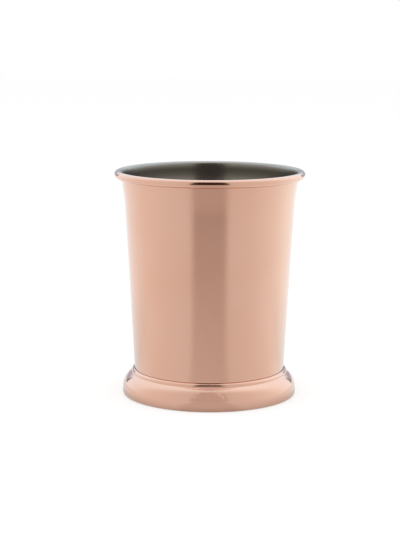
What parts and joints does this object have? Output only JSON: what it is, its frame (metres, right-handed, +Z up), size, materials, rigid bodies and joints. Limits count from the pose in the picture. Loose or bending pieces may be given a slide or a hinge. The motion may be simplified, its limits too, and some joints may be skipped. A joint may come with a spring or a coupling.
{
  "type": "julep cup",
  "caption": "Copper-plated steel julep cup with a tapered wall, flared mouth, rolled lip and a moulded foot ring, bright steel inside.",
  "frame": {"origin": "centre of the foot on the table, on the cup's own axis", "axes": "+Z up along the cup's axis, from the foot to the mouth; X and Y are free, because the cup is round"},
  "size_m": [0.0876, 0.0876, 0.104],
  "materials": {
    "polished_steel": "polished stainless steel, slightly satin inside",
    "polished_copper": "mirror polished pink copper plate",
    "dull_solder": "dull grey solder in the seam"
  },
  "bodies": {
    "root": {"cup_body": "polished_steel", "copper_plating": "polished_copper", "foot_ring": "polished_copper", "neck_solder": "dull_solder"}
  },
  "joints": []
}
